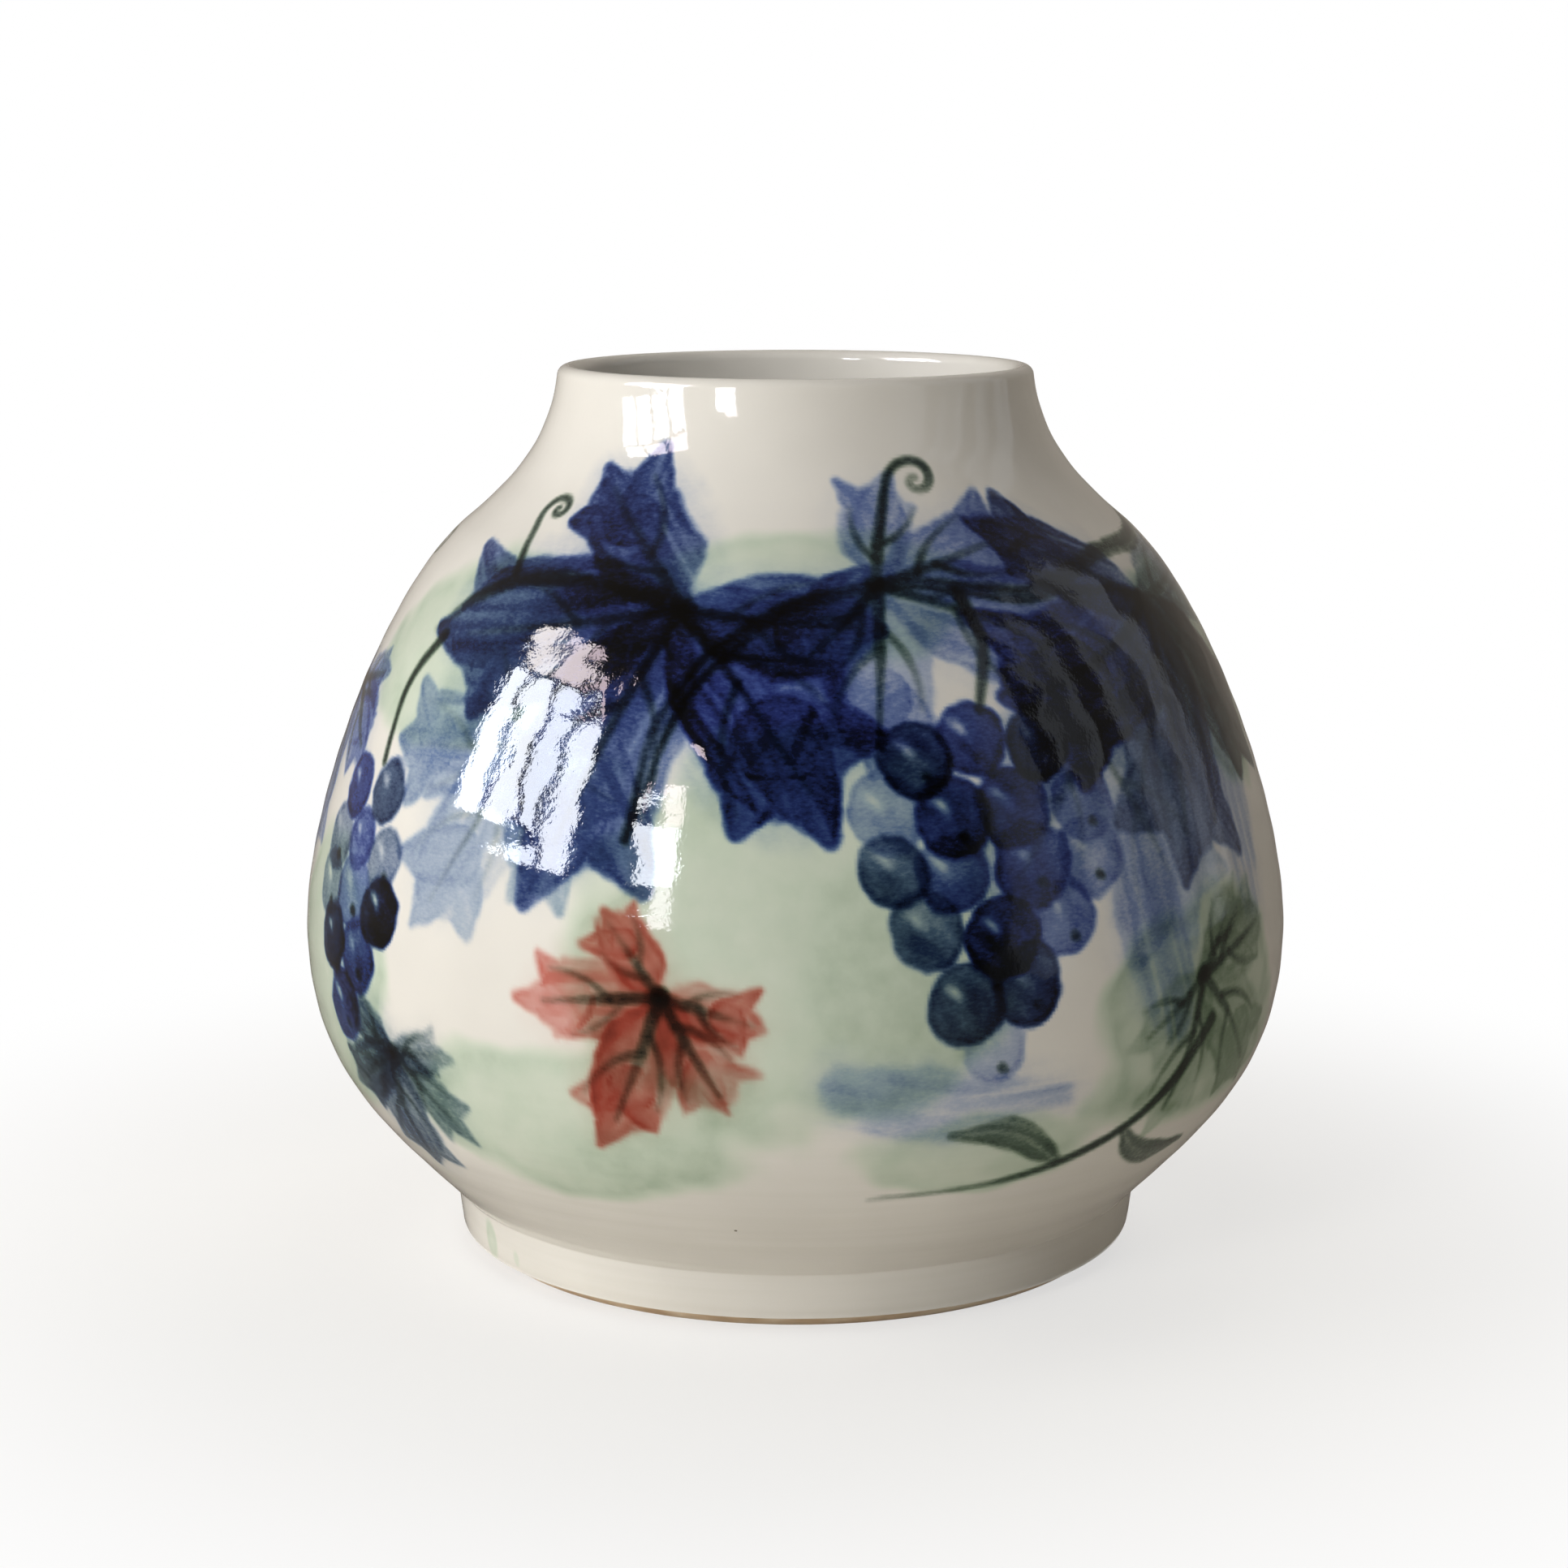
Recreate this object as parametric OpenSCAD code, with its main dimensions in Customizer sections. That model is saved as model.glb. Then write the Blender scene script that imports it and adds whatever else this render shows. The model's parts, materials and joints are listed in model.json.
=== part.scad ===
// Round-bellied porcelain jar with a wide open mouth, standing on a turned foot.
// It is put together as a potter builds it: thrown sections luted with slip, under fired coats of glaze.
// Every section is a turned profile. +Z is up, and the origin is the centre of the standing ring.
// A profile point is [radius, height], and a heading is a unit vector along the profile, going up.

/* [Foot] */
// Outer diameter at the top of the foot, where the belly starts
foot_d = 206; // [170:1:236]
// Height of the foot
foot_h = 17.5; // [12:0.5:30]
// How far the foot's outer wall draws in towards its lower end
foot_draft = 2; // [0:0.5:5]
// Radial thickness of the foot ring
foot_ring_t = 17; // [14:0.5:30]
// Width of the bare bevel around the standing ring
bevel_w = 6; // [3:0.5:7]
// Height of the bare bevel
bevel_h = 4; // [2:0.5:6]
// Size of the small chamfer at the inner edge of the standing ring
inner_chamfer = 2; // [0.5:0.5:3]

/* [Belly] */
// Outer diameter at the girth, the widest place
belly_d = 291; // [270:1:340]
// Height from the top of the foot to the girth
belly_rise = 79; // [60:1:110]
// Lean of the wall where it leaves the foot, in degrees from upright
flare_angle = 44; // [30:1:55]
// Thickness of the thrown clay wall, without glaze
wall_t = 5; // [3.5:0.5:9]
// Thickness of the floor slab
floor_t = 8; // [7:0.5:14]

/* [Shoulder and neck] */
// Height from the girth to the root of the neck
shoulder_rise = 118.5; // [95:0.5:150]
// Outer diameter at the root of the neck
neck_root_d = 194; // [175:1:215]
// Lean of the wall at the root of the neck, in degrees from upright
neck_angle = 50; // [38:1:56]
// Height from the root of the neck to the rim
neck_rise = 45; // [36:1:70]

/* [Mouth] */
// Outer diameter just under the rounded lip
mouth_d = 139; // [120:1:155]
// Lean of the outer wall at the lip, in degrees from upright
mouth_angle = 8; // [2:1:14]
// Length of the straight throat under the lip
throat_len = 10; // [6:0.5:16]

/* [Curve fullness] */
// Pull of the flare on the lower belly, as a share of that curve's span
flare_pull = 0.38; // [0.25:0.01:0.5]
// Pull of the girth on the lower belly
under_girth_pull = 0.45; // [0.3:0.01:0.55]
// Pull of the girth on the upper belly
over_girth_pull = 0.26; // [0.15:0.01:0.45]
// Pull of the neck's root on the upper belly
shoulder_pull = 0.25; // [0.15:0.01:0.45]
// Pull of the neck's root on the neck
root_pull = 0.38; // [0.25:0.01:0.5]
// Pull of the lip on the neck
lip_pull = 0.39; // [0.25:0.01:0.5]

/* [Glaze and joints] */
// Thickness of a fired coat of glaze
glaze_t = 0.5; // [0.3:0.05:0.8]
// Thickness of the slip in a luted joint
slip_t = 0.8; // [0.5:0.1:1.5]

/* [Hidden] */

// Steps along each long curve of the profile, and around each quarter of the lip
curve_steps = 24;
lip_steps = 6;
turn_steps = 180;

// Headings of the profile
upright = [0, 1];
flare_dir = [sin(flare_angle), cos(flare_angle)];
shoulder_dir = [-sin(neck_angle), cos(neck_angle)];
lip_dir = [-sin(mouth_angle), cos(mouth_angle)];

// Wall of the finished jar, and the depth of the clay's two faces under the outside
whole_t = wall_t + 2 * glaze_t;
clay_out = glaze_t;
clay_in = glaze_t + wall_t;

// Heights of the girth, the neck's root and the rim
girth_z = foot_h + belly_rise;
neck_z = girth_z + shoulder_rise;
jar_h = neck_z + neck_rise;

// The foot: its glazed wall runs from the bevel up to the belly
foot_low = [foot_d / 2 - foot_draft, bevel_h];
foot_top = [foot_d / 2, foot_h];
foot_dir = (foot_top - foot_low) / norm(foot_top - foot_low);
foot_in_r = foot_d / 2 - foot_ring_t;
foot_low_clay = inset(foot_low, foot_dir, clay_out);
stand_r = foot_low_clay[0] - bevel_w;
base_corner = mitre(foot_top, -outward(foot_dir), -outward(flare_dir), clay_out);
foot_joint_z = base_corner[1] - slip_t;
foot_top_clay = base_corner - foot_dir * slip_t / foot_dir[1];

// The floor slab: its flared edge is as long as the slab's thickness asks
floor_z = base_corner[1] + floor_t;
base_edge = (floor_z - foot_h - clay_in * sin(flare_angle)) / cos(flare_angle);
base_seam = foot_top + base_edge * flare_dir;
belly_start = base_seam + slip_t * flare_dir;

// The girth and the neck's root each have a straight stretch as long as their slip joint
girth_low = [belly_d / 2, girth_z - slip_t / 2];
girth_high = [belly_d / 2, girth_z + slip_t / 2];
neck_root = [neck_root_d / 2, neck_z];
shoulder_end = neck_root - shoulder_dir * slip_t / 2;
neck_start = neck_root + shoulder_dir * slip_t / 2;

// The lip is a full round on the wall, and the throat below it is straight
lip_r = whole_t / 2;
lip_centre = [mouth_d / 2 - lip_r * cos(mouth_angle), jar_h - lip_r];
neck_end = lip_centre + lip_r * outward(lip_dir);
throat_r = lip_centre[0] - lip_r;
throat_low = [throat_r, lip_centre[1] - throat_len];

// Long curves of the profile, all going up
belly_curve = bend(belly_start, flare_dir, flare_pull, girth_low, upright, under_girth_pull);
shoulder_curve = bend(girth_high, upright, over_girth_pull, shoulder_end, shoulder_dir, shoulder_pull);
neck_curve = bend(neck_start, shoulder_dir, root_pull, neck_end, lip_dir, lip_pull);
throat_curve = bend(inset(neck_start, shoulder_dir, whole_t), shoulder_dir, root_pull,
                    throat_low, upright, lip_pull);

// Direction out of the wall, for a heading along the profile
function outward(heading) = [heading[1], -heading[0]];

// A point moved into the wall from the outside
function inset(point, heading, depth) = point - depth * outward(heading);

// Corner point moved by one depth from the two faces that meet there
function mitre(point, normal_a, normal_b, depth) =
    point + depth * (normal_a + normal_b) / (1 + normal_a * normal_b);

// Cubic curve from one point and heading to another, with its fullness at each end
function bend(start, start_dir, start_pull, end, end_dir, end_pull) =
    let (span = norm(end - start))
    [start, start + start_pull * span * start_dir, end - end_pull * span * end_dir, end];

// Point and heading at share s of a cubic curve
function curve_point(c, s) =
    pow(1 - s, 3) * c[0] + 3 * pow(1 - s, 2) * s * c[1] + 3 * (1 - s) * s * s * c[2] + pow(s, 3) * c[3];
function curve_heading(c, s) =
    let (v = pow(1 - s, 2) * (c[1] - c[0]) + 2 * (1 - s) * s * (c[2] - c[1]) + s * s * (c[3] - c[2]))
    v / norm(v);

// Points along a cubic curve, moved into the wall by a depth
function inset_curve(c, depth) = [
    for (i = [0:curve_steps])
        inset(curve_point(c, i / curve_steps), curve_heading(c, i / curve_steps), depth)
];

// Points around the lip between two angles, moved into the wall by a depth
function lip_arc(from, to, depth) = [
    for (i = [0:lip_steps])
        let (a = from + (to - from) * i / lip_steps)
        lip_centre + (lip_r - depth) * [cos(a), sin(a)]
];

function reversed(points) = [for (i = [len(points) - 1:-1:0]) points[i]];

// The outside from the bevel to the crest of the lip, moved into the wall by a depth
function outside_path(depth) = concat(
    [inset(foot_low, foot_dir, depth)],
    [mitre(foot_top, -outward(foot_dir), -outward(flare_dir), depth)],
    inset_curve(belly_curve, depth),
    inset_curve(shoulder_curve, depth),
    inset_curve(neck_curve, depth),
    lip_arc(mouth_angle, 90, depth)
);

// The inside from the middle of the floor to the crest of the lip, moved into the wall by a depth
function inside_path(depth) = concat(
    [[0, floor_z + glaze_t - depth]],
    [mitre(inset(base_seam, flare_dir, clay_in), upright, -outward(flare_dir), glaze_t - depth)],
    inset_curve(belly_curve, whole_t - depth),
    inset_curve(shoulder_curve, whole_t - depth),
    inset_curve(throat_curve, -depth),
    lip_arc(180, 90, depth)
);

// A ring or disc turned from a closed profile
module turned(profile) {
    rotate_extrude($fn = turn_steps) polygon(profile);
}

// A slip ring that fills the clay's thickness between two points of the outside
module slip_ring(low, high, heading) {
    color("gainsboro") turned([
        inset(low, heading, clay_out), inset(high, heading, clay_out),
        inset(high, heading, clay_in), inset(low, heading, clay_in)
    ]);
}

// A thrown wall section between the clay's two faces along one curve
module wall_section(curve) {
    color("whitesmoke") turned(concat(inset_curve(curve, clay_out), reversed(inset_curve(curve, clay_in))));
}

// Turned ring that the jar stands on, bare at its bevel and standing face
module foot_ring() {
    color("tan") turned([
        [foot_in_r + inner_chamfer, 0],
        [stand_r, 0],
        foot_low_clay,
        foot_top_clay,
        [foot_in_r, foot_joint_z],
        [foot_in_r, inner_chamfer]
    ]);
}

// Slip between the foot ring and the floor slab
module foot_joint_slip() {
    color("gainsboro") turned([
        [foot_in_r, foot_joint_z], foot_top_clay, base_corner, [foot_in_r, base_corner[1]]
    ]);
}

// Floor slab with its flared edge
module base_floor() {
    color("whitesmoke") turned([
        [0, base_corner[1]],
        base_corner,
        inset(base_seam, flare_dir, clay_out),
        inset(base_seam, flare_dir, clay_in),
        [0, floor_z]
    ]);
}

module base_joint_slip() slip_ring(base_seam, belly_start, flare_dir);

module lower_belly() wall_section(belly_curve);

module girth_joint_slip() slip_ring(girth_low, girth_high, upright);

module upper_belly() wall_section(shoulder_curve);

module neck_joint_slip() slip_ring(shoulder_end, neck_start, shoulder_dir);

// Collar with the rounded lip, thicker inside where it was drawn in to the throat
module neck() {
    color("whitesmoke") turned(concat(
        inset_curve(neck_curve, clay_out),
        lip_arc(mouth_angle, 180, clay_out),
        reversed(inset_curve(throat_curve, -glaze_t))
    ));
}

// Coat over the whole outside, from the crest of the lip down to the bare bevel
module outside_glaze() {
    color("ivory") turned(concat(outside_path(0), reversed(outside_path(clay_out))));
}

// Coat over the inside, from the crest of the lip down to the floor
module inside_glaze() {
    color("ivory") turned(concat(inside_path(0), reversed(inside_path(glaze_t))));
}

// Coat in the hollow under the floor, down the ring's inner wall to the height of the bevel
module underside_glaze() {
    color("ivory") turned([
        [0, base_corner[1]],
        [foot_in_r, base_corner[1]],
        [foot_in_r, bevel_h],
        [foot_in_r - glaze_t, bevel_h],
        [foot_in_r - glaze_t, base_corner[1] - glaze_t],
        [0, base_corner[1] - glaze_t]
    ]);
}

foot_ring();
base_floor();
lower_belly();
upper_belly();
neck();
foot_joint_slip();
base_joint_slip();
girth_joint_slip();
neck_joint_slip();
outside_glaze();
inside_glaze();
underside_glaze();
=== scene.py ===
"""The look of an open porcelain jar: thrown in sections, painted with a brush and glazed.

Shapes are worked out in millimetres and go into the meshes in metres. The jar's front faces -Y.
An outline point is [radius, height]. Angles around the jar are in degrees from its front, and positive
to the right.
"""
import itertools
import json
import math

import bpy
import numpy as np
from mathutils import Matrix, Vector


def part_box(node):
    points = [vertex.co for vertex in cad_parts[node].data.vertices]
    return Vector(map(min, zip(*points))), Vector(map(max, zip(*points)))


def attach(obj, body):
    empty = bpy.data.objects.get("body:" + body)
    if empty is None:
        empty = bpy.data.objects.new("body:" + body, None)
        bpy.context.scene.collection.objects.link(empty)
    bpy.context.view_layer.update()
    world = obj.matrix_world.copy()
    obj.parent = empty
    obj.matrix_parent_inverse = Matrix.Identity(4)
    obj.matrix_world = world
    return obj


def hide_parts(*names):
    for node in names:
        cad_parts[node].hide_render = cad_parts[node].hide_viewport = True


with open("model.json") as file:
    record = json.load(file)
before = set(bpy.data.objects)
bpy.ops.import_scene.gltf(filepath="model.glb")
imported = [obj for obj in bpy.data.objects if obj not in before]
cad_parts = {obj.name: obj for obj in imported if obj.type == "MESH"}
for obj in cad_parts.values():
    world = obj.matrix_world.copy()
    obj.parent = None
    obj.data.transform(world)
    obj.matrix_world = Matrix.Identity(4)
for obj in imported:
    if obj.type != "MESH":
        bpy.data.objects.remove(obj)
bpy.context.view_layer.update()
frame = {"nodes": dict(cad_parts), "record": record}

# Sizes that the solids give

MM = 0.001


def box_mm(node):
    """Lowest and highest corner of a solid, in millimetres."""
    low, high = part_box(node)
    return np.array(low) / MM, np.array(high) / MM


coat_low, coat_high = box_mm("outside_glaze")
girth_low, girth_high = box_mm("girth_joint_slip")
lining_low, lining_high = box_mm("inside_glaze")
ring_high = box_mm("foot_ring")[1]
hollow_high = box_mm("underside_glaze")[1]
throat_mount = next(m for m in frame["record"]["mounts"] if m["name"] == "mouth")

girth_r = coat_high[0]
rim_z = coat_high[2]
bevel_z = coat_low[2]
glaze_t = girth_r - girth_high[0]
whole_t = girth_r - lining_high[0] + glaze_t
floor_z = lining_low[2] + glaze_t
throat_r = throat_mount["dims"]["r_mm"]
throat_low_z = throat_mount["pos_m"][2] / MM - throat_mount["dims"]["length_mm"] / 2

# Sizes of the outline that no solid's box gives, in millimetres and degrees

foot_low_r = 101.0
foot_top = np.array([103.0, 17.5])
base_seam_z = 22.0
flare_lean = 44.0
neck_root = np.array([97.0, 215.0])
neck_lean = -50.0
mouth_r = 69.5
mouth_lean = -8.0
flare_pull = 0.38
under_girth_pull = 0.45
over_girth_pull = 0.26
shoulder_pull = 0.25
root_pull = 0.38
lip_pull = 0.39

# Outline of the outside


def heading(lean):
    """Unit vector that goes up the outline, leaning outwards by an angle."""
    return np.array([math.sin(math.radians(lean)), math.cos(math.radians(lean))])


def bend(start, start_lean, start_pull, end, end_lean, end_pull, steps=90):
    """Cubic curve between two points, with its lean and fullness at each end."""
    span = np.linalg.norm(end - start)
    first = start + start_pull * span * heading(start_lean)
    last = end - end_pull * span * heading(end_lean)
    t = np.linspace(0, 1, steps + 1)[:, None]
    return (1 - t) ** 3 * start + 3 * (1 - t) ** 2 * t * first + 3 * (1 - t) * t**2 * last + t**3 * end


def soft_corner(before, corner, after, reach, steps=8):
    """Points that round a corner, starting and ending at a reach from it."""
    start = corner + reach * (before - corner) / np.linalg.norm(before - corner)
    end = corner + reach * (after - corner) / np.linalg.norm(after - corner)
    t = np.linspace(0, 1, steps + 1)[:, None]
    return (1 - t) ** 2 * start + 2 * (1 - t) * t * corner + t**2 * end


def quarter(centre, radius, start, end, steps=10):
    """Points on a circle between two angles in degrees."""
    a = np.radians(np.linspace(start, end, steps + 1))
    return centre + radius * np.stack([np.cos(a), np.sin(a)], 1)


def joined(*stretches):
    """One path from several, without points that repeat."""
    path = np.vstack(stretches)
    same_point = 1e-4
    step = np.linalg.norm(np.diff(path, axis=0), axis=1)
    return path[np.r_[True, step > same_point]]


def length_along(path):
    """Distance from a path's start to each of its points."""
    return np.r_[0, np.cumsum(np.linalg.norm(np.diff(path, axis=0), axis=1))]


def evenly(path, count):
    """A path with a given number of evenly spaced points."""
    run = length_along(path)
    at = np.linspace(0, run[-1], count)
    return np.stack([np.interp(at, run, path[:, i]) for i in range(2)], 1)


def inset(path, depth):
    """A path moved into the wall."""
    along = np.gradient(path, axis=0)
    along /= np.linalg.norm(along, axis=1)[:, None]
    return path - depth * np.stack([along[:, 1], -along[:, 0]], 1)


def between(path, low, high):
    """The stretch of a rising path between two heights."""
    margin = 1e-3
    ends = [[np.interp(z, path[:, 1], path[:, 0]), z] for z in (low, high)]
    inside = path[(path[:, 1] > low + margin) & (path[:, 1] < high - margin)]
    return np.vstack([ends[:1], inside, ends[1:]])


girth_z = (girth_low[2] + girth_high[2]) / 2
lip_r = whole_t / 2
mouth_turn = math.radians(mouth_lean)
lip_centre = np.array([mouth_r - lip_r * math.cos(mouth_turn), rim_z - lip_r])
neck_end = lip_centre + lip_r * np.array([math.cos(mouth_turn), -math.sin(mouth_turn)])
foot_low = np.array([foot_low_r, bevel_z])
belly_start = foot_top + heading(flare_lean) * (base_seam_z - foot_top[1])
girth = np.array([girth_r, girth_z])
crease_reach = 0.4

outside = joined(
    [foot_low],
    soft_corner(foot_low, foot_top, belly_start, crease_reach),
    bend(belly_start, flare_lean, flare_pull, girth, 0, under_girth_pull),
    bend(girth, 0, over_girth_pull, neck_root, neck_lean, shoulder_pull),
    bend(neck_root, neck_lean, root_pull, neck_end, mouth_lean, lip_pull),
    quarter(lip_centre, lip_r, -mouth_lean, 90),
)
climb = length_along(outside)

# Noise that is fixed to places on the jar


def noise(points, size, seed):
    """Smooth values from 0 to 1 at points in millimetres, in blobs about one size wide.

    Each corner of a cell has a value of its own, from its whole numbers multiplied by large odd ones.
    """
    p = points / size
    cell = np.floor(p)
    part = p - cell
    part = part * part * (3 - 2 * part)
    cell = cell.astype(np.int64).astype(np.uint32)
    total = np.zeros(len(p))
    for corner in itertools.product((0, 1), repeat=3):
        c = cell + np.array(corner, np.uint32)
        h = c[:, 0] * np.uint32(374761393) + c[:, 1] * np.uint32(668265263) + c[:, 2] * np.uint32(2147483647)
        h = h + np.uint32(seed * 97 + 13)
        h = (h ^ (h >> np.uint32(13))) * np.uint32(1274126177)
        h = (h ^ (h >> np.uint32(16))) * np.uint32(2246822519)
        weight = np.prod(np.where(corner, part, 1 - part), axis=1)
        total += weight * ((h >> np.uint32(8)) & np.uint32(0xFFFF)) / 0xFFFF
    return total


def cloud(points, size, seed, octaves=3):
    """Noise with finer noise in it, from about -1 to 1."""
    parts = [noise(points, size / 2**i, seed + i) * 0.5**i for i in range(octaves)]
    whole = sum(0.5**i for i in range(octaves))
    return 2 * sum(parts) / whole - 1


def smooth(low, high, x):
    """0 below low, 1 above high, and an even rise between them."""
    t = np.clip((x - low) / (high - low), 0, 1)
    return t * t * (3 - 2 * t)


# Pieces turned on the wheel

weld_m = 2e-6
crisp_angle = 40


def turned(name, outline, steps):
    """A solid of revolution from a closed outline, as on a wheel."""
    bpy.ops.object.select_all(action="DESELECT")
    bpy.ops.mesh.primitive_circle_add(vertices=len(outline), radius=girth_r * MM)
    piece = bpy.context.object
    piece.name = name
    piece.data.name = name
    places = np.stack([outline[:, 0], np.zeros(len(outline)), outline[:, 1]], 1) * MM
    piece.data.vertices.foreach_set("co", places.ravel())
    bpy.ops.object.modifier_add(type="SCREW")
    turn = piece.modifiers[-1]
    turn.steps = steps
    turn.render_steps = steps
    turn.use_merge_vertices = True
    turn.merge_threshold = weld_m / 2
    bpy.ops.object.modifier_apply(modifier=turn.name)
    bpy.ops.object.mode_set(mode="EDIT")
    bpy.ops.mesh.select_all(action="SELECT")
    bpy.ops.mesh.remove_doubles(threshold=weld_m)
    bpy.ops.mesh.delete_loose()
    bpy.ops.mesh.select_all(action="SELECT")
    bpy.ops.mesh.normals_make_consistent(inside=False)
    bpy.ops.object.mode_set(mode="OBJECT")
    bpy.ops.object.shade_smooth_by_angle(angle=math.radians(crisp_angle))
    return piece


def points_of(piece):
    """A piece's vertices in millimetres."""
    found = np.empty(len(piece.data.vertices) * 3)
    piece.data.vertices.foreach_get("co", found)
    return found.reshape(-1, 3) / MM


def move_points(piece, places):
    """Puts a piece's vertices at places in millimetres."""
    piece.data.vertices.foreach_set("co", (places * MM).ravel())
    piece.data.update()


def coat(face, back_count=14):
    """Closed outline of a coat of glaze whose outer face is given, with its back on the clay."""
    back = inset(face, glaze_t)
    return np.vstack([face, evenly(back, back_count)[::-1]])


def band(low, high, count):
    """Outline of the coat between two heights."""
    return coat(evenly(between(outside, low, high), count))


glaze_roll = quarter(np.array([foot_low_r - glaze_t, bevel_z + glaze_t]), glaze_t, -90, 0, 5)
crease_low, crease_high = foot_top[1] - 2 * crease_reach, foot_top[1] + 2 * crease_reach
foot_face = np.vstack([
    glaze_roll,
    evenly(between(outside, bevel_z + 2 * glaze_t, crease_low), 18),
    between(outside, crease_low, crease_high)[1:],
    evenly(between(outside, crease_high, base_seam_z), 8)[1:],
])
foot_back = inset(between(outside, bevel_z + 2 * glaze_t, base_seam_z), glaze_t)
neck_face = np.vstack([
    evenly(between(outside, neck_root[1], neck_end[1]), 58),
    quarter(lip_centre, lip_r, -mouth_lean, 90, 14)[1:],
])
shoulder_z = 157.0

# The coat is made in five bands, so that each mesh is fine enough to hold the brushwork
around_steps = 1040
coats = [
    turned("foot_glaze", np.vstack([foot_face, evenly(foot_back, 12)[::-1]]), around_steps),
    turned("lower_belly_glaze", band(base_seam_z, girth_z, 82), around_steps),
    turned("upper_belly_glaze", band(girth_z, shoulder_z, 76), around_steps),
    turned("shoulder_glaze", band(shoulder_z, neck_root[1], 80), around_steps),
    turned("neck_glaze", coat(neck_face), around_steps),
]

# The brush painting: pigment on every point of the outside

spots = np.vstack([points_of(piece) for piece in coats])
around = np.arctan2(spots[:, 0], -spots[:, 1])
radius = np.hypot(spots[:, 0], spots[:, 1])
height = np.interp(spots[:, 2], outside[:, 1], climb)
pigments = {name: np.zeros(len(spots)) for name in ("cobalt", "celadon", "iron_red", "ink")}


def skin(place):
    """Millimetres to the right of and above a place, given as [degrees, height], along the jar's skin."""
    turn = around - math.radians(place[0])
    turn = (turn + math.pi) % (2 * math.pi) - math.pi
    return turn * radius, height - np.interp(place[1], outside[:, 1], climb)


def smooth_line(points, per_span=8):
    """A smooth line through given points."""
    p = np.array(points, float)
    p = np.vstack([2 * p[0] - p[1], p, 2 * p[-1] - p[-2]])
    t = np.linspace(0, 1, per_span, endpoint=False)[:, None]
    spans = []
    for a, b, c, d in zip(p, p[1:], p[2:], p[3:]):
        square = (2 * a - 5 * b + 4 * c - d) * t**2
        cube = (3 * b - a - 3 * c + d) * t**3
        spans.append(0.5 * (2 * b + (c - a) * t + square + cube))
    return np.vstack(spans + [p[-2:-1]])


def swung(points, angle, scale=1.0):
    """Points turned clockwise by an angle and scaled, about the place that they are measured from."""
    a = math.radians(angle)
    x, y = (np.array(points, float) * scale).T
    return np.stack([x * math.cos(a) + y * math.sin(a), y * math.cos(a) - x * math.sin(a)], 1)


SOAKED_LOAD = 1.15
SOAKED_LOSS = 0.78


def lay(pigment, near, amount):
    """Adds pigment over what is there. A place that holds much takes up less."""
    there = pigments[pigment]
    there[near] += amount * (1 - SOAKED_LOSS * np.clip(there[near] / SOAKED_LOAD, 0, 1))


# Marks that the brush leaves, in millimetres: width and length of a bristle's streak and of a band of colour,
# how far colour creeps out, and how wide the rim is where it gathers
BRISTLE = (1.7, 30)
COLOUR_BAND = (5, 24)
BLEED_REACH = 9.0
RIM_WIDTH = 1.6


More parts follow.
